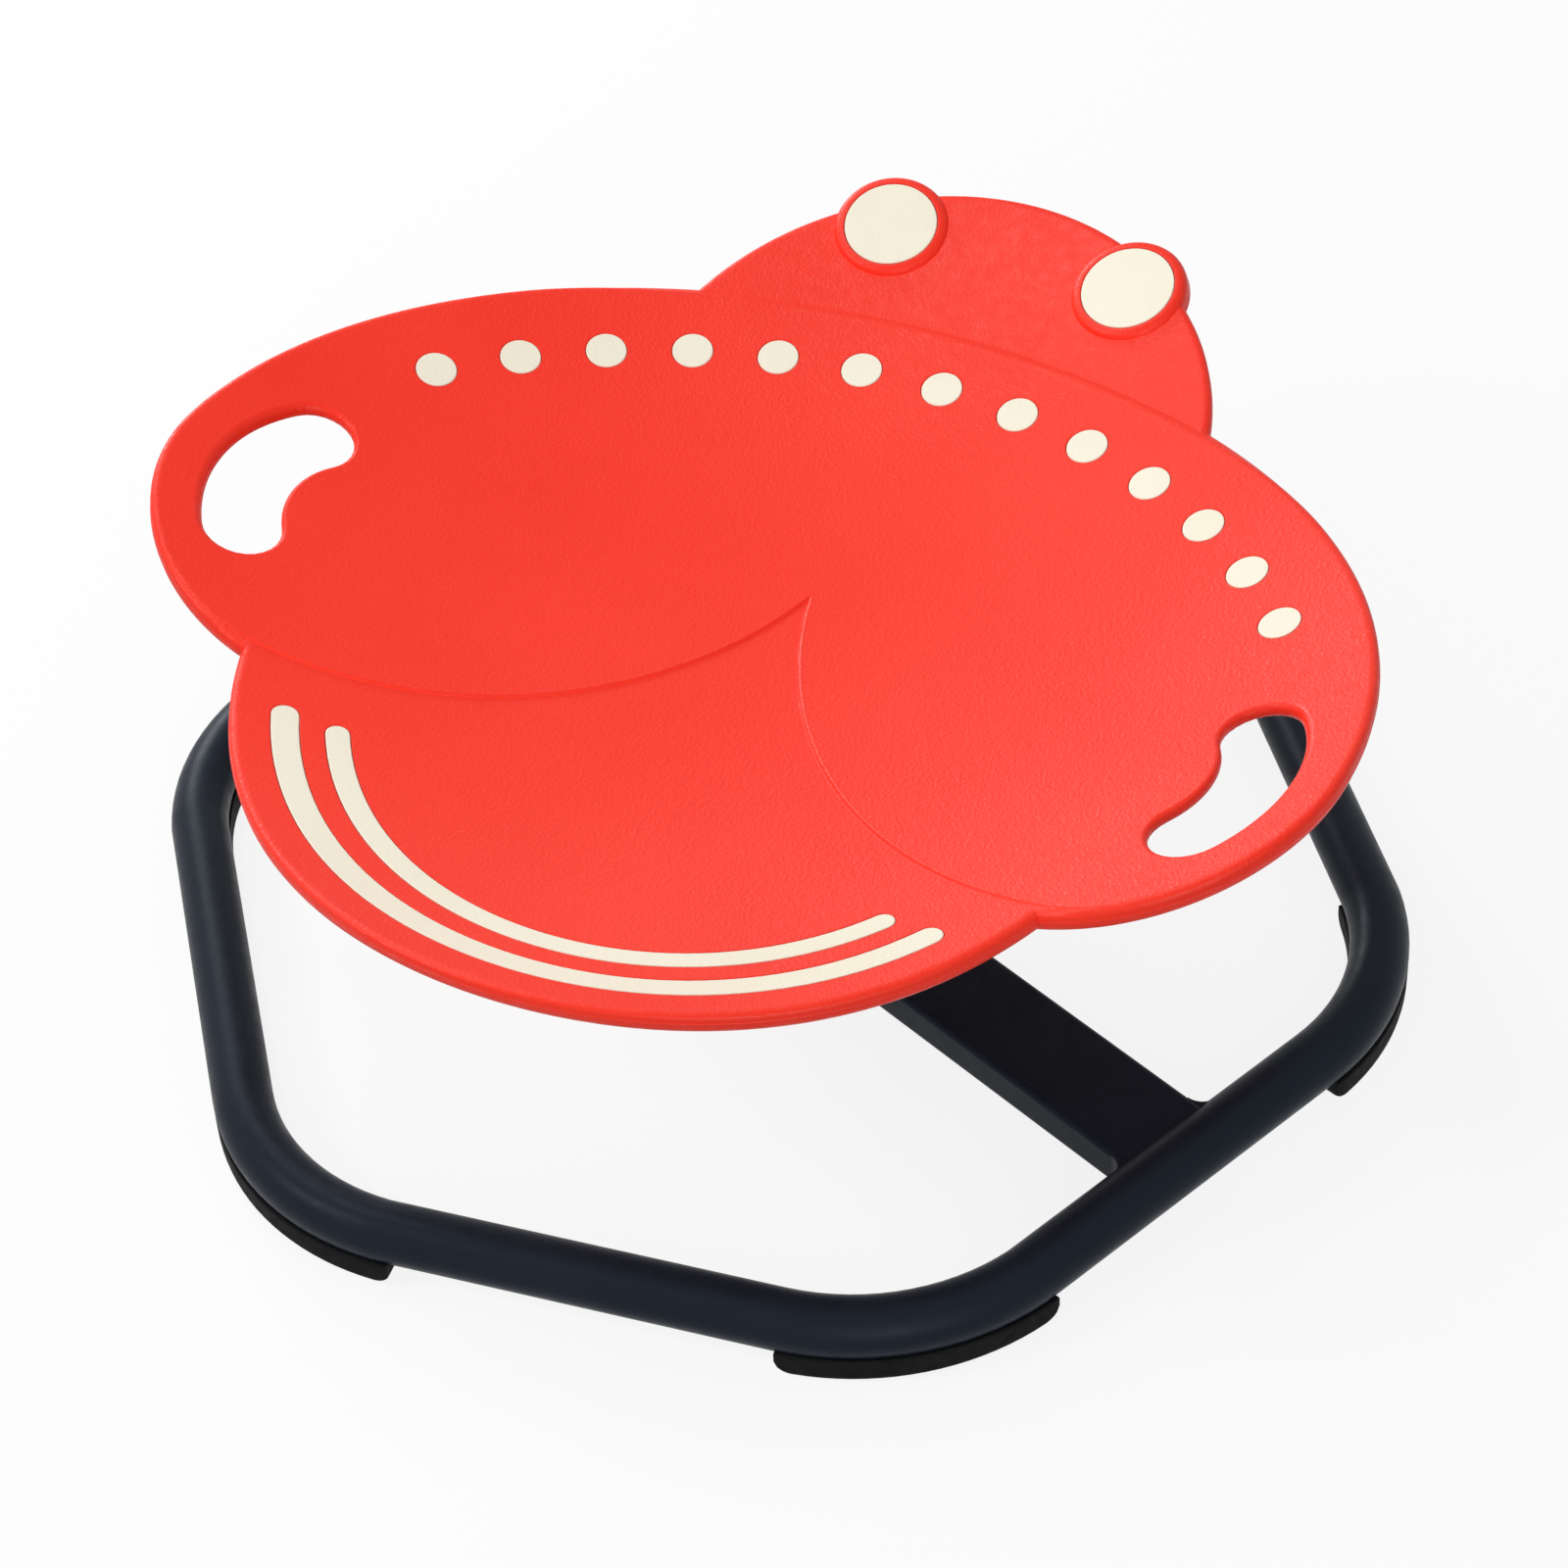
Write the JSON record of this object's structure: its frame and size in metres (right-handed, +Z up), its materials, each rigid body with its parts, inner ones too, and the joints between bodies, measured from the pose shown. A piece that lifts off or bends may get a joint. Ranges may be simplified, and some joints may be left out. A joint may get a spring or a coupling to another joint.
{
  "type": "spinning seat",
  "caption": "Dished red plastic toddler seat shaped like a beetle, with grip slots and cream inlays, spinning on a bearing post over a hexagonal black steel tube base with rubber feet.",
  "frame": {"origin": "on the floor, under the spin axis of the seat", "axes": "+X to the seated child's right when facing the head end, +Y towards the head end of the seat, +Z up along the spin axis"},
  "size_m": [0.6102, 0.5954, 0.2212],
  "materials": {
    "seat_red": "satin moulded polyethylene with a fine leather grain",
    "inlay_cream": "smooth satin plastic",
    "frame_black": "satin blue-black powder coat",
    "rubber_black": "matt moulded rubber",
    "zinc_steel": "zinc-plated steel",
    "bearing_steel": "ground bearing steel",
    "brass": "turned brass"
  },
  "bodies": {
    "base": {"base_ring": "frame_black", "cross_bar": "frame_black", "bar_welds": "frame_black", "bearing_housing": "frame_black", "housing_weld_bead": "frame_black", "access_plug": "rubber_black", "foot_pad_1": "rubber_black", "foot_pad_2": "rubber_black", "foot_pad_3": "rubber_black", "foot_pad_4": "rubber_black", "foot_pad_5": "rubber_black", "foot_pad_6": "rubber_black", "foot_screws": "zinc_steel", "upper_outer_race": "bearing_steel", "upper_balls": "bearing_steel", "upper_cage": "brass", "lower_outer_race": "bearing_steel", "lower_balls": "bearing_steel", "lower_cage": "brass"},
    "seat": {"seat_shell": "seat_red", "dot_inlays": "inlay_cream", "left_eye_inlay": "inlay_cream", "right_eye_inlay": "inlay_cream", "outer_stripe_inlay": "inlay_cream", "inner_stripe_inlay": "inlay_cream", "threaded_inserts": "brass", "seat_plate": "frame_black", "plate_screws": "zinc_steel", "plate_washers": "zinc_steel", "spindle": "zinc_steel", "spindle_weld": "frame_black", "dust_seal": "rubber_black", "upper_inner_race": "bearing_steel", "spacer_sleeve": "zinc_steel", "lower_inner_race": "bearing_steel", "spindle_washer": "zinc_steel", "spindle_nut": "zinc_steel"}
  },
  "joints": [
    {"name": "seat_spin", "type": "hinge", "parent": "base", "child": "seat", "pos_m": [0, 0, 0], "axis": [0, 0, 1], "continuous": true}
  ]
}
